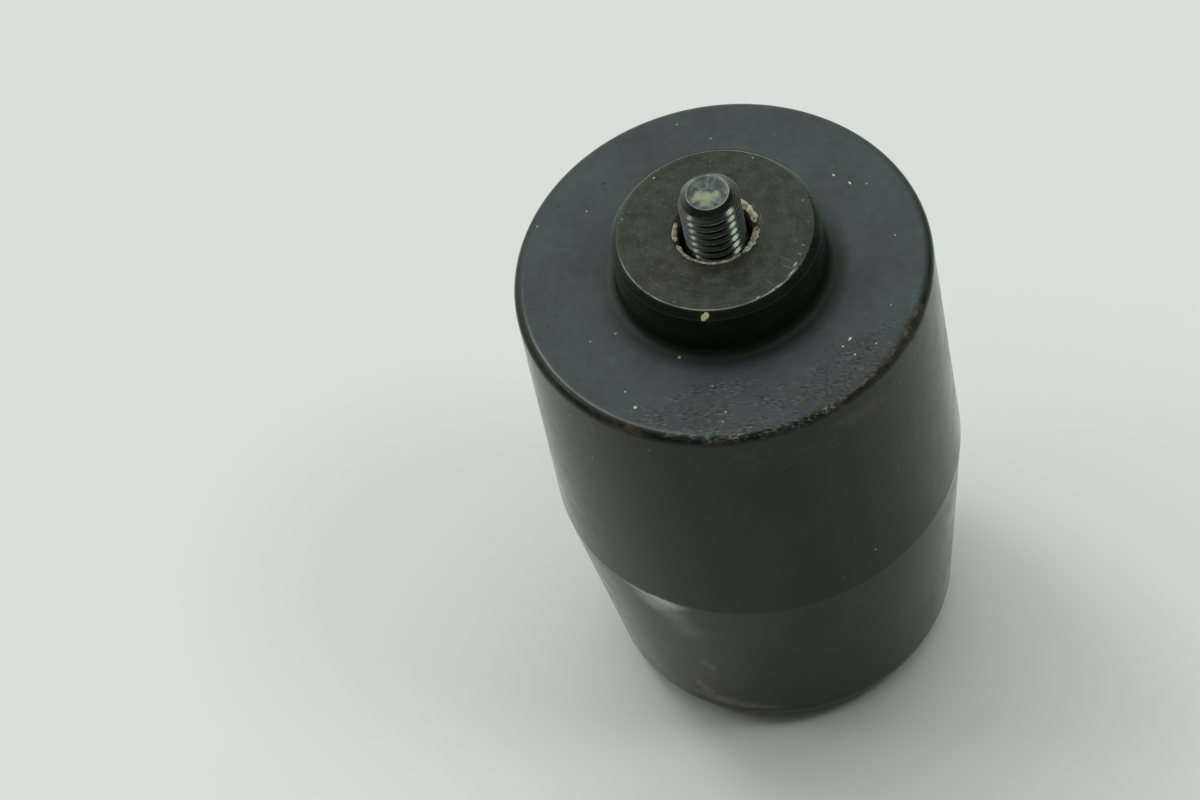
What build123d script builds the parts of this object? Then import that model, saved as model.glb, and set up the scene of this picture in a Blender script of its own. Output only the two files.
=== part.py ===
from build123d import *
from math import radians, tan
import os

# A handlebar end weight: a heavy turned steel body, held on by one screw that runs right through it.
# Millimetres. The outer face lies on Z = 0, and +Z runs along the axis towards the handlebar.

# Turned body
body_diameter = 40.0
straight_length = 29.3
taper_length = 25.7
taper_angle = 7.5
outer_edge_radius = 4.0
shoulder_edge_radius = 1.0

# Boss that stands in the open end of the grip and bears on the handlebar
boss_diameter = 20.0
boss_height = 6.0
boss_chamfer = 0.7
boss_root_radius = 1.0

# Socket head screw, M6
shank_diameter = 6.0
thread_crest_diameter = 5.9
thread_length = 24.0
tip_chamfer = 0.9
screw_stand_out = 5.8
head_diameter = 10.0
head_height = 6.0
head_edge_chamfer = 0.6
socket_width = 5.0
socket_depth = 3.0
socket_floor_angle = 30.0

# Room for the screw in the body
shank_clearance = 0.5
head_clearance = 0.5
head_recess = 0.8
hole_chamfer = 0.6
counterbore_chamfer = 0.4

# Heights along the axis, and radii that follow from the values above
body_radius = body_diameter / 2
outer_face_radius = body_radius - taper_length * tan(radians(taper_angle))
shoulder_height = taper_length + straight_length
boss_radius = boss_diameter / 2
boss_face_height = shoulder_height + boss_height
head_radius = head_diameter / 2
head_seat_height = head_recess + head_height
shank_radius = shank_diameter / 2
thread_radius = thread_crest_diameter / 2
tip_height = boss_face_height + screw_stand_out
thread_start = tip_height - thread_length
socket_radius = socket_width / 2
socket_floor_depth = socket_radius * tan(radians(socket_floor_angle))

os.makedirs("parts", exist_ok=True)


# Body: one profile turned about the axis, then its edges broken
with BuildPart() as weight:
    with BuildSketch(Plane.XZ):
        with BuildLine():
            Polyline(
                (0, 0),
                (outer_face_radius, 0),
                (body_radius, taper_length),
                (body_radius, shoulder_height),
                (boss_radius, shoulder_height),
                (boss_radius, boss_face_height),
                (0, boss_face_height),
                close=True,
            )
        make_face()
    revolve(axis=Axis.Z)

    outer_face = weight.faces().sort_by(Axis.Z)[0]
    fillet(outer_face.edges(), outer_edge_radius)

    boss_face = weight.faces().sort_by(Axis.Z)[-1]
    chamfer(boss_face.edges(), boss_chamfer)

    shoulder_face = weight.faces().filter_by(Axis.Z).sort_by(Axis.Z)[1]
    fillet(shoulder_face.edges().sort_by(SortBy.RADIUS)[-1], shoulder_edge_radius)

    shoulder_face = weight.faces().filter_by(Axis.Z).sort_by(Axis.Z)[1]
    fillet(shoulder_face.edges().sort_by(SortBy.RADIUS)[0], boss_root_radius)

    # Clearance hole right through, counterbored from the outer face for the screw's head
    with Locations(Location((0, 0, 0), (180, 0, 0))):
        CounterBoreHole(
            radius=shank_radius + shank_clearance,
            counter_bore_radius=head_radius + head_clearance,
            counter_bore_depth=head_seat_height,
        )

    boss_face = weight.faces().sort_by(Axis.Z)[-1]
    chamfer(boss_face.edges().sort_by(SortBy.RADIUS)[0], hole_chamfer)

    outer_face = weight.faces().sort_by(Axis.Z)[0]
    chamfer(outer_face.edges().sort_by(SortBy.RADIUS)[0], counterbore_chamfer)

weight.part.label = "weight"
export_step(weight.part, "parts/weight.step")


# Screw: its head seated on the floor of the counterbore, its thread at crest diameter
with BuildPart() as screw:
    with BuildSketch(Plane.XZ):
        with BuildLine():
            Polyline(
                (0, head_recess),
                (head_radius, head_recess),
                (head_radius, head_seat_height),
                (shank_radius, head_seat_height),
                (shank_radius, thread_start),
                (thread_radius, thread_start),
                (thread_radius, tip_height),
                (0, tip_height),
                close=True,
            )
        make_face()
    revolve(axis=Axis.Z)

    tip_face = screw.faces().sort_by(Axis.Z)[-1]
    chamfer(tip_face.edges(), tip_chamfer)

    head_face = screw.faces().sort_by(Axis.Z)[0]
    chamfer(head_face.edges(), head_edge_chamfer)

    # Hexagon socket with a drilled floor
    with BuildSketch(Plane.XY.offset(head_recess)):
        RegularPolygon(radius=socket_radius, side_count=6, major_radius=False)
    extrude(amount=socket_depth, mode=Mode.SUBTRACT)
    with Locations((0, 0, head_recess + socket_depth)):
        Cone(
            bottom_radius=socket_radius,
            top_radius=0,
            height=socket_floor_depth,
            align=(Align.CENTER, Align.CENTER, Align.MIN),
            mode=Mode.SUBTRACT,
        )

screw.part.label = "screw"
export_step(screw.part, "parts/screw.step")
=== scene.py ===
import math

import bmesh
import bpy
from mathutils import Matrix, Vector, noise


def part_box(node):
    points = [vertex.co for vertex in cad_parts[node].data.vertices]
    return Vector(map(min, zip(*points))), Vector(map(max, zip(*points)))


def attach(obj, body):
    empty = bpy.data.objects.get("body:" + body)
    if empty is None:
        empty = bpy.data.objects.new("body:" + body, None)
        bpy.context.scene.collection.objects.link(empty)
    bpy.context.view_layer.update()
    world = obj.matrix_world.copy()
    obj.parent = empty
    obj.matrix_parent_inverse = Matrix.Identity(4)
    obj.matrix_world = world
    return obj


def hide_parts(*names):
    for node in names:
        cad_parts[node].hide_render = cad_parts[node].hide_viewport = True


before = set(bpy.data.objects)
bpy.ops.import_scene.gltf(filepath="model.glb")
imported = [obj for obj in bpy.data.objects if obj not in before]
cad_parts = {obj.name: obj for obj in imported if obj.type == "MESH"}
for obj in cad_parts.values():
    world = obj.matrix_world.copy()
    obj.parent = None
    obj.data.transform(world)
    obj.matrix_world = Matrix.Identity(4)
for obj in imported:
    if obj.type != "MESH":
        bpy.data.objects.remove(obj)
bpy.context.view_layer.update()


# Weight: the heavy body of the bar end, turned from one steel bar to a straight cylinder, a taper and a
# boss, then drilled right through and counterbored for its screw. It is blackened all over. Use has rubbed
# the boss's rim bright, pitted and rusted the shoulder towards one side, and left grime on the taper.

MM = 0.001
weight_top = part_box("weight")[1] / MM
body_radius = weight_top.x
boss_face = weight_top.z
boss_height = 6.0
shoulder = boss_face - boss_height
crease = 25.7
taper_angle = math.radians(7.5)
outer_face_radius = body_radius - crease * math.tan(taper_angle)
outer_edge_radius = 4.0
outer_edge_turn = math.pi / 2 - taper_angle
shoulder_edge_radius = 1.0
boss_radius = 10.0
boss_chamfer = 0.7
boss_root_radius = 1.0
boss_rim_radius = boss_radius - boss_chamfer
hole_radius = 3.5
hole_chamfer = 0.6
counterbore_radius = 5.5
counterbore_chamfer = 0.4
head_seat = 6.8
worn_edge = 0.06
crease_edge = 0.15
turned_steps = 720
shoulder_rings = 36
boss_rings = 14
tolerance = 0.001

# Radius, height and rounding of each corner of the turned profile, from the hole out and round to the seat
profile = [
    (hole_radius, head_seat, 0.0),
    (hole_radius, boss_face - hole_chamfer, worn_edge),
    (hole_radius + hole_chamfer, boss_face, worn_edge),
    (boss_rim_radius, boss_face, worn_edge),
    (boss_radius, boss_face - boss_chamfer, worn_edge),
    (boss_radius, shoulder, boss_root_radius),
    (body_radius, shoulder, shoulder_edge_radius),
    (body_radius, crease, crease_edge),
    (outer_face_radius, 0.0, outer_edge_radius * math.tan(outer_edge_turn / 2)),
    (counterbore_radius + counterbore_chamfer, 0.0, worn_edge),
    (counterbore_radius, counterbore_chamfer, worn_edge),
    (counterbore_radius, head_seat, 0.0),
]


def polar(angle, radius, height):
    """A point in millimetres from its angle about the axis in degrees, its radius and its height."""
    turn = math.radians(angle)
    return Vector((radius * math.cos(turn), radius * math.sin(turn), height))


def rounding_steps(reach):
    """Facets on a rounded corner: few on a broken edge, more on a real radius."""
    return 2 if reach < 0.1 else 4 if reach < 0.5 else 10


def finish_piece(name, bm, material, sharp_angle=25.0):
    """Turns a millimetre bmesh into a smooth-shaded object in metres that rides on the part's one body."""
    bmesh.ops.recalc_face_normals(bm, faces=bm.faces[:])
    for face in bm.faces:
        face.smooth = True
    for edge in bm.edges:
        if edge.is_manifold:
            edge.smooth = edge.calc_face_angle() < math.radians(sharp_angle)
    bmesh.ops.scale(bm, vec=(MM, MM, MM), verts=bm.verts[:])
    mesh = bpy.data.meshes.new(name)
    bm.to_mesh(mesh)
    bm.free()
    mesh.materials.append(material)
    piece = bpy.data.objects.new(name, mesh)
    bpy.context.scene.collection.objects.link(piece)
    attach(piece, "root")
    return piece


bm = bmesh.new()
corners = [bm.verts.new((radius, 0, height)) for radius, height, reach in profile]
for start, end in zip(corners, corners[1:] + corners[:1]):
    bm.edges.new((start, end))
for corner, (radius, height, reach) in zip(corners, profile):
    if reach:
        bmesh.ops.bevel(bm, geom=[corner], offset=reach, offset_type="OFFSET", affect="VERTICES",
                        segments=rounding_steps(reach), profile=0.5, material=-1)
for level, cuts in ((shoulder, shoulder_rings), (boss_face, boss_rings)):
    level_edges = [e for e in bm.edges if all(abs(v.co.z - level) < tolerance for v in e.verts)]
    face_line = [e for e in level_edges if e.calc_length() > 1]
    bmesh.ops.subdivide_edges(bm, edges=face_line, cuts=cuts)
bmesh.ops.spin(bm, geom=bm.verts[:] + bm.edges[:], cent=(0, 0, 0), axis=(0, 0, 1), angle=math.tau,
               steps=turned_steps, use_merge=True)

# Pitted places on the shoulder: angle in degrees, radius, half length round the axis, half width, strength
pitted_places = [
    (-98, 14.3, 4.2, 2.0, 0.7),
    (-106, 16.4, 4.2, 2.6, 0.9),
    (-118, 17.8, 4.6, 1.6, 0.7),
    (-96, 18.8, 8.5, 1.3, 1.0),
    (-80, 16.8, 4.8, 2.8, 0.6),
    (-74, 19.0, 6.5, 1.2, 1.0),
    (-64, 17.4, 5.6, 2.6, 1.0),
    (-52, 17.6, 5.0, 2.6, 0.9),
    (-56, 15.2, 3.2, 1.6, 0.5),
    (-40, 18.4, 4.6, 1.7, 0.6),
    (-30, 18.8, 3.4, 1.1, 0.4),
]
pit_depth = 0.025
pit_length = 0.55
pit_width = 0.24
pit_bearing = math.radians(-9)
pit_level = 0.35
pit_gain = 1.3
ragged_size = 1.3
ragged_share = 1.3

# Small nicks knocked into the boss's rim: angle in degrees, half width and depth
rim_nicks = [
    (-41, 0.16, 0.06),
    (-48, 0.10, 0.04),
    (-61, 0.14, 0.05),
    (-73, 0.20, 0.06),
    (-26, 0.12, 0.04),
    (9, 0.10, 0.03),
]
nick_reach = 0.5


def nearness(point, angle, radius, half_round, half_out):
    """1 in the middle of a place on the turned faces, falling to 0 at its edge."""
    around = math.remainder(math.atan2(point.y, point.x) - math.radians(angle), math.tau) * radius
    outward = math.hypot(point.x, point.y) - radius
    return max(0.0, 1 - (around / half_round) ** 2 - (outward / half_out) ** 2)


# Two values go to the material with the mesh: 1 on the faced ends, fading round their edges, and how pitted
# the shoulder is. The pits lie along one bearing, as the grain of the bar does.
faced_fade = 10
faced_layer = bm.verts.layers.float.new("faced")
pitting_layer = bm.verts.layers.float.new("pitting")
along_pits = Matrix.Rotation(-pit_bearing, 3, "Z")
for vert in bm.verts:
    point = vert.co.copy()
    from_axis = math.hypot(point.x, point.y)
    on_end = point.z > boss_face - tolerance or point.z < tolerance
    level = 1.0 if on_end else max(0.0, 1 - abs(point.z - shoulder) / shoulder_edge_radius)
    vert[faced_layer] = level ** faced_fade
    at_shoulder = shoulder - shoulder_edge_radius < point.z < shoulder + tolerance
    if at_shoulder and from_axis > boss_radius + boss_root_radius:
        raggedness = 1 + ragged_share * noise.fractal(point / ragged_size, 0.8, 2.0, 3)
        depth = max(strength * nearness(point, angle, middle, half_round, half_out)
                    for angle, middle, half_round, half_out, strength in pitted_places)
        vert[pitting_layer] = max(0.0, min(1.0, pit_gain * depth * raggedness))
        along = along_pits @ point
        lump = noise.fractal(Vector((along.x / pit_length, along.y / pit_width, along.z)), 0.8, 2.0, 2)
        vert.co.z -= vert[pitting_layer] * pit_depth * max(0.0, pit_level + lump)
    if point.z > boss_face - boss_chamfer - nick_reach and from_axis > boss_rim_radius - nick_reach:
        for angle, half_width, depth in rim_nicks:
            dent = depth * nearness(point, angle, boss_rim_radius, half_width, nick_reach)
            vert.co.z -= dent
            vert.co.xy *= 1 - dent / from_axis


def linear(hex_colour):
    """An sRGB hex colour as the linear colour that a shader socket takes."""
    channels = [int(hex_colour[i:i + 2], 16) / 255 for i in (0, 2, 4)]
    return [c / 12.92 if c <= 0.04045 else ((c + 0.055) / 1.055) ** 2.4 for c in channels] + [1.0]


def add_node(tree, kind, sockets, **settings):
    """Adds one shader node with its settings, and fills its sockets with values or with links."""
    node = tree.nodes.new("ShaderNode" + kind)
    for name, value in settings.items():
        setattr(node, name, value)
    for key, value in sockets.items():
        if isinstance(value, bpy.types.NodeSocket):
            tree.links.new(value, node.inputs[key])
        else:
            node.inputs[key].default_value = value
    return node


def blot(tree, where, angle, radius, height, half_sizes, core):
    """A mask for one mark: 1 in its middle and 0 past half_sizes, which run outwards, round and upwards."""
    local = add_node(tree, "Mapping", {
        "Vector": where,
        "Location": polar(angle, radius, height),
        "Rotation": (0, 0, math.radians(angle)),
        "Scale": half_sizes,
    }, vector_type="TEXTURE").outputs[0]
    reach = add_node(tree, "VectorMath", {0: local}, operation="LENGTH").outputs["Value"]
    fade = add_node(tree, "MapRange", {0: reach, 1: 1.0, 2: core}, interpolation_type="SMOOTHSTEP")
    return fade.outputs[0]


def blots(tree, where, marks):
    """The greatest of several marks' masks, each scaled by its strength."""
    total = None
    for *place, strength in marks:
        mask = blot(tree, where, *place)
        mark = add_node(tree, "Math", {0: mask, 1: strength}, operation="MULTIPLY").outputs[0]
        if total is not None:
            mark = add_node(tree, "Math", {0: total, 1: mark}, operation="MAXIMUM").outputs[0]
        total = mark
    return total


def thin_line(tree, measure, middle, outer, inner):
    """A mask for a line where a measure comes near a value: 0 past outer from it and 1 within inner."""
    off = add_node(tree, "Math", {0: measure, 1: middle}, operation="SUBTRACT").outputs[0]
    off = add_node(tree, "Math", {0: off}, operation="ABSOLUTE").outputs[0]
    return add_node(tree, "MapRange", {0: off, 1: outer, 2: inner}).outputs[0]


# Blackened steel: a thin oxide coat, oiled, on turned steel. The long turned sides are smooth and nearly
# black, with a gloss like oil's. The faced shoulder and boss are duller and greyer, and the boss is brownish.
coat_turned = linear("131713")
coat_taper = linear("0d120d")
coat_stained = linear("231e16")
coat_fresh = linear("434a50")
coat_dull = linear("2e343a")
boss_dark = linear("1c1a18")
boss_pale = linear("3b3b37")
boss_brown = linear("261b15")
boss_smudge_and_shade = linear("101311")
boss_ghost = linear("5a635e")
pit_dark = linear("131513")
pit_pale = linear("626b68")
pit_glint = linear("80867f")
bare_steel_and_sheen = linear("85867f")
rust_dark = linear("231f19")
rust_brown = linear("40362b")
rust_red = linear("573a28")
dust_white = linear("b9bcb4")
dust_cream = linear("d6d2c2")
scuff_grey = linear("887d74")
grime_khaki = linear("4a4531")
chip_cream = linear("b9b489")

blackened_steel = bpy.data.materials.new("blackened_steel")
blackened_steel.use_nodes = True
tree = blackened_steel.node_tree
shader = tree.nodes["Principled BSDF"]
metres = add_node(tree, "TexCoord", {}).outputs["Object"]
place = add_node(tree, "VectorMath", {0: metres, "Scale": 1 / MM}, operation="SCALE").outputs[0]
height = add_node(tree, "SeparateXYZ", {0: place}).outputs["Z"]
flat = add_node(tree, "VectorMath", {0: place, 1: (1, 1, 0)}, operation="MULTIPLY").outputs[0]
radius = add_node(tree, "VectorMath", {0: flat}, operation="LENGTH").outputs["Value"]
bearing = add_node(tree, "VectorMath", {0: flat}, operation="NORMALIZE").outputs[0]
faced = add_node(tree, "Attribute", {}, attribute_name="faced").outputs["Fac"]
pitting = add_node(tree, "Attribute", {}, attribute_name="pitting").outputs["Fac"]

# Cloudy tone of the coat, in patches some 7 mm wide, stains of about 3 mm, and a finer mottle of about 1 mm
cloud = add_node(tree, "TexNoise", {"Vector": place, "Scale": 1 / 7, "Detail": 3.0}).outputs[0]
stain = add_node(tree, "TexNoise", {
    "Vector": place,
    "Scale": 1 / 3,
    "Detail": 5.0,
    "Roughness": 0.65,
}).outputs[0]
mottle = add_node(tree, "TexNoise", {"Vector": place, "Scale": 1 / 1.1, "Detail": 4.0}).outputs[0]
on_taper = add_node(tree, "MapRange", {0: height, 1: crease + 0.1, 2: crease - 0.1}).outputs[0]
sides = add_node(tree, "Mix", {0: on_taper, 6: coat_turned, 7: coat_taper}, data_type="RGBA").outputs[2]
stained = add_node(tree, "MapRange", {0: stain, 1: 0.46, 2: 0.74}).outputs[0]
sides = add_node(tree, "Mix", {0: stained, 6: sides, 7: coat_stained}, data_type="RGBA").outputs[2]
fading = add_node(tree, "Mix", {0: 0.4, 2: cloud, 3: mottle}).outputs[0]
fading = add_node(tree, "MapRange", {0: fading, 1: 0.3, 2: 0.7}).outputs[0]
ends = add_node(tree, "Mix", {0: fading, 6: coat_dull, 7: coat_fresh}, data_type="RGBA").outputs[2]
coat = add_node(tree, "Mix", {0: faced, 6: sides, 7: ends}, data_type="RGBA").outputs[2]

# Turning marks: rings about the axis on the boss, some 0.18 mm apart, which is as coarse as they need to be
# to show, under a grit of scuffs about 0.3 mm wide
ring_pitch = 0.18
rings = add_node(tree, "TexNoise", {
    "W": radius,
    "Scale": 1 / ring_pitch,
    "Detail": 1.0,
}, noise_dimensions="1D").outputs[0]
ring_share = add_node(tree, "MapRange", {0: rings, 1: 0.3, 2: 0.7}).outputs[0]
blotch = add_node(tree, "MapRange", {0: mottle, 1: 0.35, 2: 0.65}).outputs[0]
boss_tone = add_node(tree, "Mix", {0: 0.65, 2: ring_share, 3: blotch}).outputs[0]
boss_coat = add_node(tree, "Mix", {0: boss_tone, 6: boss_dark, 7: boss_pale}, data_type="RGBA").outputs[2]
on_boss = add_node(tree, "MapRange", {0: height, 1: boss_face - 0.15, 2: boss_face - 0.02}).outputs[0]
grit = add_node(tree, "TexNoise", {"Vector": place, "Scale": 1 / 0.3, "Detail": 2.0}).outputs[0]
grit = add_node(tree, "MapRange", {0: grit, 1: 0.64, 2: 0.74, 4: 0.55}).outputs[0]
grit = add_node(tree, "Math", {0: grit, 1: on_boss}, operation="MULTIPLY").outputs[0]

# Marks have ragged edges, so their places are shifted, widely or a little, by a noise of about 0.9 mm
shift = add_node(tree, "TexNoise", {"Vector": place, "Scale": 1 / 0.9, "Detail": 4.0}).outputs[1]
shift = add_node(tree, "VectorMath", {0: shift, 1: (-0.5, -0.5, -0.5)}, operation="ADD").outputs[0]
ragged = add_node(tree, "VectorMath", {
    0: shift,
    1: (1.6, 1.6, 1.6),
    2: place,
}, operation="MULTIPLY_ADD").outputs[0]
uneven = add_node(tree, "VectorMath", {
    0: shift,
    1: (0.6, 0.6, 0.6),
    2: place,
}, operation="MULTIPLY_ADD").outputs[0]

# Marks on the boss's face: angle, radius, height, half sizes, soft core and strength of each
brown_stains = blots(tree, ragged, [
    (-149, 7.4, boss_face, (1.6, 1.8, 2), 0.0, 0.8),
    (-120, 6.5, boss_face, (1.4, 2.0, 2), 0.0, 0.7),
    (-156, 6.1, boss_face, (0.9, 0.9, 2), 0.0, 0.6),
    (45, 6.2, boss_face, (1.2, 1.4, 2), 0.0, 0.6),
    (20, 6.4, boss_face, (1.0, 1.0, 2), 0.0, 0.5),
    (100, 7.2, boss_face, (1.2, 2.4, 2), 0.0, 0.5),
])
brown_stains = add_node(tree, "Math", {0: brown_stains, 1: on_boss}, operation="MULTIPLY").outputs[0]
smudges = blots(tree, ragged, [
    (-100, 4.8, boss_face, (0.6, 1.3, 1), 0.0, 0.8),
    (-75, 8.3, boss_face, (0.7, 1.6, 1), 0.0, 0.4),
    (170, 8.4, boss_face, (0.6, 1.6, 1), 0.0, 0.4),
])
ghosts = blots(tree, ragged, [
    (8, 4.5, boss_face, (0.35, 0.9, 1), 0.1, 0.5),
    (26, 4.4, boss_face, (0.25, 0.5, 1), 0.1, 0.35),
    (-100, 5.9, boss_face, (0.3, 1.2, 1), 0.0, 0.3),
    (63, 16.2, shoulder, (0.6, 0.8, 1), 0.0, 0.2),
    (-168, 4.5, boss_face, (0.35, 0.6, 1), 0.1, 0.35),
])

# Painted shade: the shoulder darkens round the root of the boss, mostly towards the front, standing in for
# the boss's shadow and its dark reflection
painted_root_shade = add_node(tree, "MapRange", {
    0: radius,
    1: boss_radius + 2.4,
    2: boss_radius + boss_root_radius,
    4: 0.85,
}).outputs[0]
off_boss = add_node(tree, "MapRange", {
    0: height,
    1: shoulder + 2.5,
    2: shoulder + boss_root_radius,
}).outputs[0]
on_shoulder = add_node(tree, "MapRange", {0: height, 1: shoulder - 0.5, 2: shoulder - 0.3}).outputs[0]
shade_facing = add_node(tree, "VectorMath", {0: bearing, 1: polar(-75, 1, 0)}, operation="DOT_PRODUCT")
shade_arc = add_node(tree, "MapRange", {0: shade_facing.outputs["Value"], 1: -0.4, 2: 0.6, 3: 0.2}).outputs[0]
for mask in (off_boss, on_shoulder, shade_arc):
    painted_root_shade = add_node(tree, "Math", {0: painted_root_shade, 1: mask}, operation="MULTIPLY").outputs[0]

# Pits: in patches, dark in their floors, with paler tops, partly worn and partly a painted glint, and painted
# glints of pale grey along the shoulder's edge
patchy = add_node(tree, "MapRange", {0: mottle, 1: 0.36, 2: 0.6, 3: 0.12}).outputs[0]
pitted = add_node(tree, "Math", {0: pitting, 1: patchy}, operation="MULTIPLY").outputs[0]
grain = add_node(tree, "Mapping", {
    "Vector": place,
    "Rotation": (0, 0, pit_bearing),
    "Scale": (pit_length, pit_width, pit_width),
}, vector_type="TEXTURE").outputs[0]
pit_noise = add_node(tree, "TexNoise", {
    "Vector": grain,
    "Scale": 1.0,
    "Detail": 3.0,
    "Roughness": 0.6,
}).outputs[0]
pit_floors = add_node(tree, "MapRange", {0: pit_noise, 1: 0.5, 2: 0.38}).outputs[0]
pit_floors = add_node(tree, "Math", {0: pit_floors, 1: pitted}, operation="MULTIPLY").outputs[0]
pit_tops = add_node(tree, "MapRange", {0: pit_noise, 1: 0.54, 2: 0.68, 4: 0.8}).outputs[0]
pit_tops = add_node(tree, "Math", {0: pit_tops, 1: pitted}, operation="MULTIPLY").outputs[0]
below = add_node(tree, "Math", {0: shoulder, 1: height}, operation="SUBTRACT").outputs[0]
# Painted glints: pale grey on the pits' high spots just below the shoulder's edge, standing in for light
# caught there
glints = add_node(tree, "MapRange", {0: pit_noise, 1: 0.48, 2: 0.62, 4: 0.7}).outputs[0]
for mask in (
    pitted,
    add_node(tree, "MapRange", {0: below, 1: 0.02, 2: 0.12}).outputs[0],
    add_node(tree, "MapRange", {0: below, 1: 0.6, 2: 0.3}).outputs[0],
):
    glints = add_node(tree, "Math", {0: glints, 1: mask}, operation="MULTIPLY").outputs[0]

# Pale dust caught below the crease, with a frayed top, and scuffs further down where the part was set down
dust = blots(tree, uneven, [
    (-130, 19.8, 25.6, (2, 4.8, 1.2), 0.0, 0.85),
    (-127, 19.8, 25.3, (2, 3.2, 2.2), 0.0, 0.8),
    (-130, 19.7, 24.4, (2, 3.4, 3.2), 0.0, 0.5),
    (-126, 19.5, 22.8, (2, 3.0, 3.2), 0.0, 0.2),
    (-123, 19.3, 20.4, (2, 3.0, 3.4), 0.0, 0.1),
])
dust_height = add_node(tree, "SeparateXYZ", {0: uneven}).outputs["Z"]
dust_top = add_node(tree, "MapRange", {0: dust_height, 1: crease + 0.3, 2: crease - 0.1}).outputs[0]
dust = add_node(tree, "Math", {0: dust, 1: dust_top}, operation="MULTIPLY").outputs[0]
scuffs = blots(tree, uneven, [
    (-121, 18.3, 13.1, (2, 0.8, 1.3), 0.0, 0.28),
    (-119, 18.3, 12.3, (2, 0.8, 1.3), 0.0, 0.32),
    (-126, 17.6, 7.3, (2, 1.0, 1.5), 0.0, 0.45),
    (-124, 17.4, 6.2, (2, 1.2, 2.0), 0.0, 0.55),
    (-128, 17.2, 5.0, (2, 2.8, 1.2), 0.0, 0.3),
    (-119, 17.2, 4.8, (2, 3.6, 1.4), 0.0, 0.55),
    (-112, 17.2, 4.5, (2, 3.4, 1.0), 0.0, 0.45),
    (-105, 17.2, 4.4, (2, 2.6, 0.8), 0.0, 0.3),
])

# Rust along the shoulder's edge, a stain run down from it, and small red spots on the shoulder
edge_height = shoulder - 0.3 * shoulder_edge_radius
edge_rust = blots(tree, ragged, [
    (-157, body_radius, edge_height, (0.9, 4.0, 1.2), 0.0, 0.5),
    (-146, body_radius, edge_height, (0.9, 3.0, 1.2), 0.0, 0.6),
    (-134, body_radius, edge_height, (0.9, 2.6, 1.2), 0.0, 0.8),
    (-126, body_radius, edge_height, (0.9, 3.0, 1.4), 0.3, 1.0),
    (-100, body_radius, edge_height, (0.9, 2.6, 1.2), 0.2, 0.9),
    (-84, body_radius, edge_height, (0.9, 3.5, 0.9), 0.0, 0.5),
    (-66, 19.8, edge_height, (1.2, 3.5, 1.0), 0.0, 0.7),
    (-50, 19.7, edge_height, (1.2, 3.6, 1.4), 0.2, 0.9),
    (-34, 19.7, edge_height, (1.2, 4.6, 1.5), 0.2, 1.0),
    (-20, 19.7, edge_height, (1.0, 3.0, 1.0), 0.0, 0.6),
    (-95, body_radius, 51.6, (1.0, 9.0, 3.4), 0.0, 0.55),
    (-75, body_radius, 50.6, (1.0, 6.0, 3.2), 0.0, 0.45),
    (-52, body_radius, 51.0, (1.0, 5.0, 3.0), 0.0, 0.4),
])
rust_tone = add_node(tree, "MapRange", {0: mottle, 1: 0.42, 2: 0.62}).outputs[0]
rust = add_node(tree, "Mix", {0: rust_tone, 6: rust_dark, 7: rust_brown}, data_type="RGBA").outputs[2]
khaki_stains = blots(tree, uneven, [
    (-59, body_radius, 51.6, (1.0, 3.0, 1.5), 0.0, 0.8),
    (-54, body_radius, 51.0, (1.0, 2.0, 1.1), 0.0, 0.7),
    (-65, body_radius, 52.2, (1.0, 2.4, 1.1), 0.0, 0.5),
    (-42, 18.2, 9.0, (3, 5.0, 5.0), 0.0, 0.25),
])
red_spots = blots(tree, ragged, [
    (-74, 17.7, shoulder, (0.45, 0.55, 1), 0.4, 0.8),
    (-106, 15.8, shoulder, (0.4, 0.4, 1), 0.3, 0.5),
    (-105, 18.2, shoulder, (0.4, 0.4, 1), 0.3, 0.5),
    (-125, 19.8, edge_height, (0.5, 1.4, 0.6), 0.0, 0.6),
])

# Bare steel: the boss's rim rubbed thin, and scratches, with a painted highlight on the chamfer's lower edge
# and a line along the shoulder's edge that is partly worn and partly a painted highlight
rim_line = thin_line(tree, radius, boss_rim_radius, 0.09, 0.03)
rim_facing = add_node(tree, "VectorMath", {0: bearing, 1: polar(-110, 1, 0)}, operation="DOT_PRODUCT")
rim_arc = add_node(tree, "MapRange", {0: rim_facing.outputs["Value"], 1: 0.2, 2: 0.6, 4: 0.9}).outputs[0]
rim_wear = add_node(tree, "MapRange", {0: stain, 1: 0.4, 2: 0.6, 3: 0.35}).outputs[0]
for share in (rim_arc, rim_wear, on_boss):
    rim_line = add_node(tree, "Math", {0: rim_line, 1: share}, operation="MULTIPLY").outputs[0]
# A faint bare line along the chamfer's lower edge is a painted highlight
chamfer_highlight_share = 0.06
chamfer_edge_highlight = thin_line(tree, height, boss_face - boss_chamfer, 0.07, 0.02)
for share in (chamfer_highlight_share, rim_wear):
    chamfer_edge_highlight = add_node(tree, "Math", {0: chamfer_edge_highlight, 1: share}, operation="MULTIPLY").outputs[0]
# A bare line along the shoulder's edge, only on the side facing the window, is partly wear and partly a
# painted highlight
rub_and_highlight_radius = body_radius - 0.85
edge_rub_and_highlight = thin_line(tree, radius, rub_and_highlight_radius, 0.22, 0.08)
highlight_facing = add_node(tree, "VectorMath", {0: bearing, 1: polar(-140, 1, 0)}, operation="DOT_PRODUCT")
highlight_arc = add_node(tree, "MapRange", {0: highlight_facing.outputs["Value"], 1: 0.6, 2: 0.9, 4: 0.17}).outputs[0]
for share in (highlight_arc, rim_wear, on_shoulder):
    edge_rub_and_highlight = add_node(tree, "Math", {0: edge_rub_and_highlight, 1: share}, operation="MULTIPLY").outputs[0]
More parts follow.
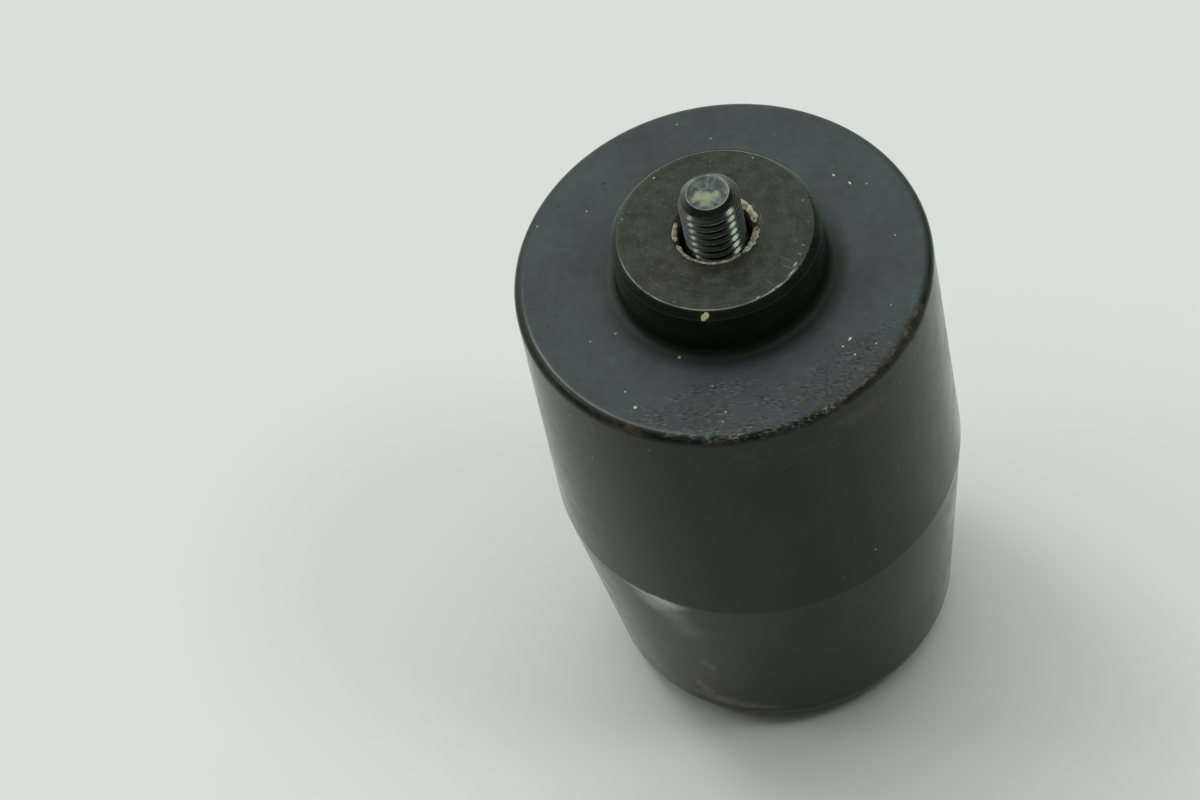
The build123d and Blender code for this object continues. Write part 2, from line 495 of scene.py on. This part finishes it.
scratches = blots(tree, place, [
    (-40, 7.8, boss_face, (1.0, 0.05, 1), 0.2, 0.4),
    (-61, 8.3, boss_face, (1.1, 0.05, 1), 0.2, 0.4),
    (-50, 7.0, boss_face, (0.8, 0.05, 1), 0.2, 0.25),
    (-45, 8.3, boss_face, (0.8, 0.05, 1), 0.2, 0.35),
    (-41, 8.9, boss_face, (0.2, 0.5, 1), 0.2, 0.8),
    (-33, 8.75, boss_face, (0.2, 0.1, 1), 0.3, 0.6),
    (-26, 8.7, boss_face, (0.25, 0.1, 1), 0.3, 0.6),
    (-24, 7.9, boss_face, (0.2, 0.1, 1), 0.3, 0.4),
    (9, 8.75, boss_face, (0.2, 0.12, 1), 0.3, 0.6),
    (-8, 8.8, boss_face, (0.1, 0.1, 1), 0.3, 0.6),
    (-47, 9.15, boss_face, (0.14, 0.9, 1), 0.2, 0.9),
    (-73, 9.15, boss_face, (0.2, 0.3, 1), 0.3, 0.7),
    (-61, 9.2, boss_face, (0.12, 1.6, 1), 0.2, 0.7),
    (38, 16.7, shoulder, (0.9, 0.05, 1), 0.2, 0.25),
    (37, 15.0, shoulder, (0.7, 0.05, 1), 0.2, 0.25),
    (-47, body_radius, 51.4, (1, 0.6, 0.1), 0.2, 0.35),
    (-45, body_radius, 50.9, (1, 0.1, 0.6), 0.2, 0.35),
])
bare_and_sheen = rim_line
for mask in (chamfer_edge_highlight, edge_rub_and_highlight, scratches):
    bare_and_sheen = add_node(tree, "Math", {0: bare_and_sheen, 1: mask}, operation="MAXIMUM").outputs[0]

# Dark scratches and dents on the sides and the shoulder
dents = blots(tree, ragged, [
    (-50, body_radius, 39.2, (1, 0.3, 1.5), 0.0, 0.7),
    (-63, body_radius, 42.0, (1, 0.4, 1.4), 0.0, 0.6),
    (-84, body_radius, 48.7, (1, 1.8, 0.5), 0.0, 0.6),
    (-70, body_radius, 50.1, (1, 1.5, 0.5), 0.0, 0.5),
    (-139, body_radius, 51.6, (1, 0.25, 1.6), 0.0, 0.8),
    (-173, 16.3, shoulder, (0.3, 0.35, 1), 0.0, 0.6),
    (-171, 17.4, shoulder, (0.25, 0.4, 1), 0.0, 0.5),
    (179, 16.1, shoulder, (0.2, 0.25, 1), 0.0, 0.5),
    (127, 15.7, shoulder, (0.3, 0.4, 1), 0.2, 0.7),
    (142, 17.9, shoulder, (0.3, 0.4, 1), 0.2, 0.7),
    (137, 13.7, shoulder, (0.25, 0.3, 1), 0.2, 0.6),
])

# Specks of white dust, and one cream chip on the boss's chamfer
specks = blots(tree, place, [
    (-127, 17.5, shoulder, (0.2, 0.2, 1), 0.5, 1.0),
    (-47, 15.2, shoulder, (0.15, 0.3, 1), 0.5, 1.0),
    (-51, 15.2, shoulder, (0.12, 0.16, 1), 0.5, 0.8),
    (-51, 16.7, shoulder, (0.13, 0.13, 1), 0.5, 0.8),
    (-44, 17.6, shoulder, (0.1, 0.14, 1), 0.5, 0.7),
    (34, 14.6, shoulder, (0.13, 0.22, 1), 0.5, 0.9),
    (27, 15.1, shoulder, (0.13, 0.25, 1), 0.5, 1.0),
    (23, 16.3, shoulder, (0.1, 0.13, 1), 0.5, 0.5),
    (-121, 10.9, shoulder, (0.15, 0.2, 1), 0.5, 0.6),
    (-133, 16.4, shoulder, (0.12, 0.12, 1), 0.5, 0.7),
    (-98, 16.7, shoulder, (0.12, 0.15, 1), 0.5, 0.6),
    (-99, 17.8, shoulder, (0.12, 0.12, 1), 0.5, 0.6),
    (-103, 13.7, shoulder, (0.1, 0.12, 1), 0.5, 0.5),
    (140, 15.2, shoulder, (0.12, 0.14, 1), 0.5, 0.5),
    (151, 18.9, shoulder, (0.12, 0.14, 1), 0.5, 0.5),
    (-158, 14.6, shoulder, (0.1, 0.14, 1), 0.5, 0.5),
    (-155, 12.2, shoulder, (0.2, 0.12, 1), 0.5, 0.5),
    (-1, 16.6, shoulder, (0.1, 0.12, 1), 0.5, 0.6),
    (-29, 16.9, shoulder, (0.1, 0.12, 1), 0.5, 0.5),
    (95, 18.0, shoulder, (0.12, 0.14, 1), 0.5, 0.5),
    (85, 15.5, shoulder, (0.12, 0.14, 1), 0.5, 0.4),
    (122, 8.8, boss_face, (0.12, 0.14, 1), 0.5, 0.6),
    (158, 9.0, boss_face, (0.1, 0.12, 1), 0.5, 0.4),
    (57, 8.9, boss_face, (0.1, 0.12, 1), 0.5, 0.5),
    (-74, body_radius, 28.1, (1, 0.14, 0.14), 0.5, 0.15),
    (-63, body_radius, 29.7, (1, 0.16, 0.16), 0.5, 0.6),
    (-147, body_radius, 51.6, (1, 0.12, 0.16), 0.5, 0.6),
    (-141, body_radius, 46.5, (1, 0.14, 0.14), 0.5, 0.6),
    (-120, body_radius, 52.5, (1, 0.12, 0.12), 0.5, 0.4),
])
chip = blots(tree, uneven, [
    (-106, 9.8, boss_face - 0.47, (0.4, 0.3, 0.32), 0.7, 1.0),
    (-104, 9.7, boss_face - 0.35, (0.4, 0.32, 0.24), 0.7, 1.0),
])

# Grime and rust inside the mouth of the hole
mouth_radius = hole_radius + hole_chamfer
mouth = add_node(tree, "MapRange", {0: radius, 1: mouth_radius + 0.1, 2: mouth_radius - 0.1}).outputs[0]
in_mouth = add_node(tree, "MapRange", {0: height, 1: boss_face - 3.0, 2: boss_face - 1.0}).outputs[0]
mouth = add_node(tree, "Math", {0: mouth, 1: in_mouth}, operation="MULTIPLY").outputs[0]

# Mixed over the coat: real marks, with the painted shade round the root, the painted glints and the painted
# highlights on the edges among them
for mask, colour in (
    (on_boss, boss_coat),
    (brown_stains, boss_brown),
    (smudges, boss_smudge_and_shade),
    (ghosts, boss_ghost),
    (grit, boss_ghost),
    (painted_root_shade, boss_smudge_and_shade),
    (pit_floors, pit_dark),
    (pit_tops, pit_pale),
    (khaki_stains, grime_khaki),
    (edge_rust, rust),
    (red_spots, rust_red),
    (glints, pit_glint),
    (dents, boss_smudge_and_shade),
    (mouth, rust_brown),
    (dust, dust_cream),
    (scuffs, scuff_grey),
    (bare_and_sheen, bare_steel_and_sheen),
    (specks, dust_white),
    (chip, chip_cream),
):
    coat = add_node(tree, "Mix", {0: mask, 6: coat, 7: colour}, data_type="RGBA").outputs[2]

# Gloss: oiled and uneven on the sides and round the edge, satin on the faced ends, glossier where it is
# pitted, dull where dirt lies and in the painted shade round the boss's root
gloss = add_node(tree, "MapRange", {0: stain, 1: 0.3, 2: 0.7, 3: 0.10, 4: 0.26}).outputs[0]
dirt = dust
for mask in (edge_rust, scuffs, khaki_stains, mouth):
    dirt = add_node(tree, "Math", {0: dirt, 1: mask}, operation="MAXIMUM").outputs[0]
in_from_edge = add_node(tree, "MapRange", {0: radius, 1: rub_and_highlight_radius, 2: rub_and_highlight_radius - 0.25}).outputs[0]
satin = add_node(tree, "Math", {0: faced, 1: in_from_edge}, operation="MULTIPLY").outputs[0]
for mask, roughness in ((satin, 0.43), (pitted, 0.36), (painted_root_shade, 0.6), (dirt, 0.6), (bare_and_sheen, 0.35)):
    gloss = add_node(tree, "Mix", {0: mask, 2: gloss, 3: roughness}).outputs[0]

# Relief: a faint skin everywhere, dents, turning rings on the boss, and fine pits where the shoulder is
# corroded
pits = add_node(tree, "Math", {0: pit_noise, 1: pitted}, operation="MULTIPLY").outputs[0]
ring_relief = add_node(tree, "Math", {0: rings, 1: on_boss}, operation="MULTIPLY").outputs[0]
skin = add_node(tree, "Bump", {"Height": mottle, "Strength": 0.2, "Distance": 0.06 * MM}).outputs[0]
skin = add_node(tree, "Bump", {
    "Height": dents,
    "Strength": 0.3,
    "Distance": 0.12 * MM,
    "Normal": skin,
}, invert=True).outputs[0]
for relief, strength, distance in ((ring_relief, 0.25, 0.03), (pits, 0.6, 0.06)):
    skin = add_node(tree, "Bump", {
        "Height": relief,
        "Strength": strength,
        "Distance": distance * MM,
        "Normal": skin,
    }).outputs[0]

# Oil's IOR is about 1.47. A thin old film reflects less, and what it reflects is faintly green.
for name, value in {"Base Color": coat, "Metallic": bare_and_sheen, "Roughness": gloss, "Normal": skin}.items():
    tree.links.new(value, shader.inputs[name])
shader.inputs["IOR"].default_value = 1.3
shader.inputs["Specular Tint"].default_value = linear("ecffe4")

weight = finish_piece("weight_body", bm, blackened_steel)
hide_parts("weight")


# Screw: an M6 socket head screw through the weight, its head seated in the counterbore and its tip standing
# out of the boss. It is steel with a rolled thread and a black oxide finish, worn pale on the crests and the
# tip's rim, with dried thread lock smeared over the tip.

screw_low, screw_high = [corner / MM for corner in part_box("screw")]
tip = screw_high.z
head_radius = screw_high.x
head_top = screw_low.z
pitch = 1.0
crest_radius = 2.95
root_radius = 2.39
crest_flat = pitch / 8
root_flat = pitch / 4
flank = (pitch - crest_flat - root_flat) / 2
thread_edge = 0.05
thread_steps = 96
thread_turns = 26
thread_start = tip - 24.0
crest_height = 65.83
shank_radius = 3.0
tip_flat_radius = 2.05
tip_rim_radius = 2.0
point_radius = 0.1
head_chamfer = 0.6
socket_radius = 2.5
socket_depth = 3.0
socket_floor = head_top + socket_depth
socket_point = socket_floor + socket_radius * math.tan(math.radians(30))

# One turn of thread: radius and height of its profile from the middle of one crest to the next
thread_profile = [
    (crest_radius, 0.0),
    (crest_radius, crest_flat / 2),
    (root_radius, crest_flat / 2 + flank),
    (root_radius, crest_flat / 2 + flank + root_flat),
    (crest_radius, pitch - crest_flat / 2),
    (crest_radius, pitch),
]


def ramp(value, start, end):
    """0 at start and 1 at end, with a smooth rise between them."""
    share = max(0.0, min(1.0, (value - start) / (end - start)))
    return share * share * (3 - 2 * share)


def ring_at(bm, height):
    """The open edges that lie at a height."""
    open_edges = [e for e in bm.edges if e.is_boundary]
    return [e for e in open_edges if all(abs(v.co.z - height) < tolerance for v in e.verts)]


def draw_out(bm, ring, radius, height, sides=0):
    """Extrudes a ring to a new radius and height, round or with flat sides, and gives the new ring."""
    new = bmesh.ops.extrude_edge_only(bm, edges=ring)["geom"]
    new_verts = {v for v in new if isinstance(v, bmesh.types.BMVert)}
    for vert in new_verts:
        angle = math.atan2(vert.co.y, vert.co.x)
        reach = radius
        if sides:
            half_side = math.pi / sides
            reach = radius / math.cos(angle % (2 * half_side) - half_side)
        vert.co = polar(math.degrees(angle), reach, height)
    return [e for e in new if isinstance(e, bmesh.types.BMEdge) and new_verts.issuperset(e.verts)]


def close_to_point(bm, ring, height):
    """Draws a ring in to one point on the axis."""
    last = draw_out(bm, ring, point_radius, height)
    last_verts = list(dict.fromkeys(v for e in last for v in e.verts))
    bmesh.ops.pointmerge(bm, verts=last_verts, merge_co=(0, 0, height))


bm = bmesh.new()
corners = [bm.verts.new((radius, 0, height)) for radius, height in thread_profile]
for start, end in zip(corners, corners[1:]):
    bm.edges.new((start, end))
bmesh.ops.bevel(bm, geom=corners[1:-1], offset=thread_edge, offset_type="OFFSET", affect="VERTICES",
                segments=2, profile=0.5, material=-1)
flank_lines = [e for e in bm.edges if e.calc_length() > flank]
bmesh.ops.subdivide_edges(bm, edges=flank_lines, cuts=3)
bmesh.ops.spin(bm, geom=bm.verts[:] + bm.edges[:], cent=(0, 0, 0), axis=(0, 0, 1), angle=math.tau,
               steps=thread_steps, dvec=(0, 0, pitch / thread_steps))
one_turn = bm.verts[:] + bm.edges[:] + bm.faces[:]
for turn in range(1, thread_turns):
    copy = bmesh.ops.duplicate(bm, geom=one_turn)["geom"]
    copied = [v for v in copy if isinstance(v, bmesh.types.BMVert)]
    bmesh.ops.translate(bm, vec=(0, 0, turn * pitch), verts=copied)
bmesh.ops.remove_doubles(bm, verts=bm.verts[:], dist=1e-4)
bmesh.ops.translate(bm, vec=(0, 0, crest_height - (thread_turns - 1) * pitch), verts=bm.verts[:])

# The tip's chamfer cuts the thread above, and the thread runs out into the plain shank below
for vert in bm.verts:
    radius = math.hypot(vert.co.x, vert.co.y)
    full = radius + (shank_radius - radius) * ramp(vert.co.z, thread_start + pitch, thread_start)
    full = min(full, max(point_radius, tip_flat_radius + tip - vert.co.z))
    vert.co.xy *= full / radius
for level, keeps_below in ((tip, True), (thread_start, False)):
    bmesh.ops.bisect_plane(bm, geom=bm.verts[:] + bm.edges[:] + bm.faces[:], dist=1e-5,
                           plane_co=(0, 0, level), plane_no=(0, 0, 1),
                           clear_outer=keeps_below, clear_inner=not keeps_below)

# The tip is dished, and the ring below the thread is drawn out to the shank, the head and the hexagon socket
dish_depth = 0.14
ring = ring_at(bm, tip)
for radius, depth in ((1.92, 0.0), (1.75, 0.06), (0.9, 0.12)):
    ring = draw_out(bm, ring, radius, tip - depth)
close_to_point(bm, ring, tip - dish_depth)
ring = ring_at(bm, thread_start)
for radius, height, sides in (
    (shank_radius, head_seat, 0),
    (head_radius, head_seat, 0),
    (head_radius, head_top + head_chamfer, 0),
    (head_radius - head_chamfer, head_top, 0),
    (socket_radius, head_top, 6),
    (socket_radius, socket_floor, 6),
    (socket_radius, socket_floor, 0),
):
    ring = draw_out(bm, ring, radius, height, sides)
close_to_point(bm, ring, socket_point)

# Black oxide on steel: a hard dark skin, glossy under oil, and bare metal where the crests and rim are worn
oxide_black = linear("050606")
oxide_brown = linear("0b0a08")
worn_steel = linear("8b8d88")
tip_blue = linear("02060a")
tip_grey = linear("4e5f61")
tip_cream = linear("8a9076")
tip_pit = linear("0e110c")

black_oxide_steel = bpy.data.materials.new("black_oxide_steel")
black_oxide_steel.use_nodes = True
tree = black_oxide_steel.node_tree
shader = tree.nodes["Principled BSDF"]
metres = add_node(tree, "TexCoord", {}).outputs["Object"]
place = add_node(tree, "VectorMath", {0: metres, "Scale": 1 / MM}, operation="SCALE").outputs[0]
height = add_node(tree, "SeparateXYZ", {0: place}).outputs["Z"]
flat = add_node(tree, "VectorMath", {0: place, 1: (1, 1, 0)}, operation="MULTIPLY").outputs[0]
radius = add_node(tree, "VectorMath", {0: flat}, operation="LENGTH").outputs["Value"]
mottle = add_node(tree, "TexNoise", {"Vector": place, "Scale": 1 / 0.5, "Detail": 4.0}).outputs[0]
oxide = add_node(tree, "Mix", {0: mottle, 6: oxide_black, 7: oxide_brown}, data_type="RGBA").outputs[2]

# Crests and the tip's rim are worn to thin bright lines, unevenly, in a mottle of about 0.5 mm
wear = add_node(tree, "MapRange", {0: mottle, 1: 0.35, 2: 0.65, 3: 0.3, 4: 0.9}).outputs[0]
crests = add_node(tree, "MapRange", {0: radius, 1: crest_radius - 0.06, 2: crest_radius - 0.01}).outputs[0]
on_thread = add_node(tree, "MapRange", {
    0: height,
    1: thread_start + pitch,
    2: thread_start + 2 * pitch,
}).outputs[0]
crests = add_node(tree, "Math", {0: crests, 1: on_thread}, operation="MULTIPLY").outputs[0]
on_tip = add_node(tree, "MapRange", {0: height, 1: tip - 0.25, 2: tip - 0.2}).outputs[0]
tip_rim = thin_line(tree, radius, tip_rim_radius, 0.08, 0.03)
tip_rim = add_node(tree, "Math", {0: tip_rim, 1: on_tip}, operation="MULTIPLY").outputs[0]
worn = add_node(tree, "Math", {0: crests, 1: tip_rim}, operation="MAXIMUM").outputs[0]
worn = add_node(tree, "Math", {0: worn, 1: wear}, operation="MULTIPLY").outputs[0]

# The tip is mottled blue and grey, with dried thread lock smeared over its lower half and two small pits
shift = add_node(tree, "TexNoise", {"Vector": place, "Scale": 1 / 0.6, "Detail": 3.0}).outputs[1]
shift = add_node(tree, "VectorMath", {0: shift, 1: (-0.5, -0.5, -0.5)}, operation="ADD").outputs[0]
ragged = add_node(tree, "VectorMath", {
    0: shift,
    1: (1.0, 1.0, 0),
    2: place,
}, operation="MULTIPLY_ADD").outputs[0]
tip_face = add_node(tree, "MapRange", {
    0: radius,
    1: tip_rim_radius - 0.05,
    2: tip_rim_radius - 0.2,
}).outputs[0]
tip_face = add_node(tree, "Math", {0: tip_face, 1: on_tip}, operation="MULTIPLY").outputs[0]
tip_tone = add_node(tree, "MapRange", {0: mottle, 1: 0.44, 2: 0.64}).outputs[0]
tip_coat = add_node(tree, "Mix", {0: tip_tone, 6: tip_blue, 7: tip_grey}, data_type="RGBA").outputs[2]
smear = blots(tree, ragged, [
    (-165, 0.9, tip, (0.9, 0.85, 1), 0.2, 0.9),
    (-100, 0.4, tip, (1.0, 1.1, 1), 0.2, 0.95),
    (-30, 0.8, tip, (0.65, 0.75, 1), 0.2, 0.85),
    (-115, 1.2, tip, (0.7, 1.0, 1), 0.0, 0.7),
])
smear = add_node(tree, "Math", {0: smear, 1: tip_face}, operation="MULTIPLY").outputs[0]
tip_pits = blots(tree, place, [
    (124, 0.5, tip, (0.16, 0.18, 1), 0.3, 1.0),
    (47, 0.46, tip, (0.17, 0.2, 1), 0.3, 1.0),
])
for mask, colour in ((worn, worn_steel), (tip_face, tip_coat), (smear, tip_cream), (tip_pits, tip_pit)):
    oxide = add_node(tree, "Mix", {0: mask, 6: oxide, 7: colour}, data_type="RGBA").outputs[2]
gloss = add_node(tree, "MapRange", {0: mottle, 1: 0.3, 2: 0.7, 3: 0.14, 4: 0.22}).outputs[0]
for mask, roughness in ((tip_face, 0.6), (smear, 0.7)):
    gloss = add_node(tree, "Mix", {0: mask, 2: gloss, 3: roughness}).outputs[0]
skin = add_node(tree, "Bump", {"Height": mottle, "Strength": 0.06, "Distance": 0.04 * MM}).outputs[0]

# The oxide's IOR is about 2.4 and oil's is 1.47: the value between them gives the thread's glints
for name, value in {"Base Color": oxide, "Metallic": worn, "Roughness": gloss, "Normal": skin}.items():
    tree.links.new(value, shader.inputs[name])
shader.inputs["IOR"].default_value = 1.65
shader.inputs["Specular Tint"].default_value = linear("f4fff5")

screw = finish_piece("threaded_screw", bm, black_oxide_steel, 35.0)
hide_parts("screw")


# Thread lock: adhesive that was squeezed out round the hole when the screw was driven, and broke when the
# weight came off. It lies over the hole's chamfer as a thin ragged crust in short lengths, cream to khaki.

# Start and end angle in degrees, radius, and half width and half thickness of each length of crust
crust_lengths = [
    (0, 54, 3.90, 0.34, 0.045),
    (-57, -8, 3.90, 0.42, 0.05),
    (-135, -55, 3.66, 0.25, 0.07),
    (-168, -132, 3.84, 0.25, 0.045),
    (152, 186, 3.86, 0.24, 0.045),
    (-91, -85, 3.30, 0.12, 0.08),
]
crust_lift = 0.08
crust_slope = math.radians(28)
crust_step = 1.0
crust_sides = 16
crust_edge = 0.09
crust_grain = 0.32
crust_swell = 0.35
crust_end = 0.3
crust_thinning = 6
crust_seed = 1

# The lumps come from a fixed seed, because Blender's vector noise is otherwise seeded from the clock
noise.seed_set(crust_seed)
bm = bmesh.new()
for first, last, radius, half_width, half_thick in crust_lengths:
    middle = boss_face - hole_chamfer + (radius - hole_radius) + crust_lift
    section = (Matrix.Rotation(math.radians(first), 4, "Z")
               @ Matrix.Translation((radius, 0, middle))
               @ Matrix.Rotation(-crust_slope, 4, "Y")
               @ Matrix.Rotation(math.pi / 2, 4, "X")
               @ Matrix.Diagonal((half_width, half_thick, 1, 1)))
    circle = bmesh.ops.create_circle(bm, segments=crust_sides, radius=1.0, matrix=section)["verts"]
    loop = list(dict.fromkeys(e for v in circle for e in v.link_edges))
    bmesh.ops.spin(bm, geom=circle + loop, cent=(0, 0, 0), axis=(0, 0, 1), angle=math.radians(last - first),
                   steps=round((last - first) / crust_step))
    for vert in bm.verts:
        if not vert.tag:
            vert.tag = True
            angle = math.degrees(math.atan2(vert.co.y, vert.co.x))
            along = min(1.0, ((angle - first + 0.01) % 360) / (last - first))
            end_taper = min(1.0, crust_end + crust_thinning * min(along, 1 - along))
            core = polar(angle, radius, middle)
            swell = 1 + crust_swell * noise.noise(core / crust_grain)
            bump = noise.noise_vector(vert.co / crust_grain) * crust_edge
            vert.co = core + ((vert.co - core) * swell + bump) * end_taper
bmesh.ops.holes_fill(bm, edges=[e for e in bm.edges if e.is_boundary], sides=crust_sides)

# Dried anaerobic adhesive: a dull crust with a grain of 0.4 mm, cream where it is thick, khaki elsewhere, and
# stained by rust at some ends
lock_cream = linear("b8b49d")
lock_khaki = linear("79735a")
lock_rust = linear("4f3a26")

dried_thread_lock = bpy.data.materials.new("dried_thread_lock")
dried_thread_lock.use_nodes = True
tree = dried_thread_lock.node_tree
shader = tree.nodes["Principled BSDF"]
metres = add_node(tree, "TexCoord", {}).outputs["Object"]
place = add_node(tree, "VectorMath", {0: metres, "Scale": 1 / MM}, operation="SCALE").outputs[0]
grain = add_node(tree, "TexNoise", {"Vector": place, "Scale": 1 / 0.4, "Detail": 4.0}).outputs[0]
thick = add_node(tree, "MapRange", {0: grain, 1: 0.4, 2: 0.62}).outputs[0]
crust = add_node(tree, "Mix", {0: thick, 6: lock_khaki, 7: lock_cream}, data_type="RGBA").outputs[2]
rusty = blots(tree, place, [
    (-13, 4.0, boss_face, (0.5, 0.45, 0.6), 0.2, 0.9),
    (-58, 3.7, boss_face, (0.5, 0.4, 0.6), 0.2, 0.6),
    (-112, 3.6, boss_face, (0.4, 0.5, 0.6), 0.2, 0.6),
    (-150, 3.7, boss_face, (0.5, 0.4, 0.6), 0.2, 0.5),
])
crust = add_node(tree, "Mix", {0: rusty, 6: crust, 7: lock_rust}, data_type="RGBA").outputs[2]
skin = add_node(tree, "Bump", {"Height": grain, "Strength": 0.35, "Distance": 0.08 * MM}).outputs[0]
for name, value in {"Base Color": crust, "Normal": skin}.items():
    tree.links.new(value, shader.inputs[name])
shader.inputs["Roughness"].default_value = 0.6

finish_piece("dried_thread_lock", bm, dried_thread_lock, 60.0)


# Floor: a plain pale table, wide enough to fill every view. It is painted dull, and the part stands loose
# on it, so it is only the stage.

floor_half_width = 3.0
bm = bmesh.new()
bmesh.ops.create_grid(bm, x_segments=1, y_segments=1, size=floor_half_width)
floor_mesh = bpy.data.meshes.new("floor")
bm.to_mesh(floor_mesh)
bm.free()
floor_paint = bpy.data.materials.new("pale_floor")
floor_paint.use_nodes = True
floor_shader = floor_paint.node_tree.nodes["Principled BSDF"]
floor_shader.inputs["Base Color"].default_value = linear("dddedf")
floor_shader.inputs["Roughness"].default_value = 0.7
floor_shader.inputs["Specular IOR Level"].default_value = 0.1
floor_mesh.materials.append(floor_paint)
floor = bpy.data.objects.new("floor", floor_mesh)
bpy.context.scene.collection.objects.link(floor)


# Light: a dim room with a pale wall behind the part, a tall window behind it on the left, a panel on each
# side and a patch of bright ceiling. Each lamp is so far away that its light doesn't fall off.

# Direction as an azimuth and an elevation in degrees, width across in degrees, strength and colour
lamps = {
    "window_low": (124, 54, 13, 0.26, "fffaff"),
    "window_middle": (130, 65, 12, 0.16, "fffaff"),
    "window_top": (130, 76, 11, 0.08, "fffaff"),
    "right_panel": (-18, 56, 15, 0.43, "f0ffec"),
    "left_panel": (168, 42, 10, 0.13, "fffaff"),
    "ceiling": (15, 80, 36, 0.28, "f2ffee"),
}
for name, (azimuth, elevation, width, strength, colour) in lamps.items():
    lamp = bpy.data.lights.new(name, "SUN")
    lamp.energy = strength
    lamp.angle = math.radians(width)
    lamp.color = linear(colour)[:3]
    up = math.radians(elevation)
    holder = bpy.data.objects.new(name, lamp)
    holder.rotation_euler = polar(azimuth, math.cos(up), math.sin(up)).to_track_quat("Z", "Y").to_euler()
    bpy.context.scene.collection.objects.link(holder)

wall_azimuth = 101
wall_elevation = math.radians(39)
wall_strength = 1.39
wall_core = math.radians(4)
wall_reach = math.radians(82)
room_strength = 0.13
world = bpy.data.worlds.new("dim_room")
world.use_nodes = True
bpy.context.scene.world = world
room = world.node_tree
toward = add_node(room, "TexCoord", {}).outputs["Generated"]
wall_middle = polar(wall_azimuth, math.cos(wall_elevation), math.sin(wall_elevation))
facing = add_node(room, "VectorMath", {0: toward, 1: wall_middle}, operation="DOT_PRODUCT").outputs["Value"]
room_tone = add_node(room, "MapRange", {
    0: facing,
    1: math.cos(wall_reach),
    2: math.cos(wall_core),
    3: room_strength,
    4: wall_strength,
}, interpolation_type="SMOOTHSTEP").outputs[0]
room.links.new(room_tone, room.nodes["Background"].inputs["Strength"])
room.nodes["Background"].inputs["Color"].default_value = linear("f5fff4")


# Camera: looks down on the boss at the photograph's angle, through a long lens. Its place and its turn were
# fitted to the outlines of the boss, the shoulder and the taper.

camera_place = Vector((0.0, -348.544, 518.192)) * MM
camera_yaw = math.radians(-2.321)
camera_pitch = math.radians(54.005)
camera_roll = math.radians(13.258)
camera_lens = bpy.data.cameras.new("camera")
camera_lens.sensor_width = 36.0
camera_lens.lens = 184.07
camera = bpy.data.objects.new("camera", camera_lens)
camera.matrix_world = (Matrix.Translation(camera_place)
                       @ Matrix.Rotation(-camera_yaw, 4, "Z")
                       @ Matrix.Rotation(math.pi / 2 - camera_pitch, 4, "X")
                       @ Matrix.Rotation(-camera_roll, 4, "Z"))
bpy.context.scene.collection.objects.link(camera)
bpy.context.scene.camera = camera
bpy.context.scene.view_settings.view_transform = "Standard"
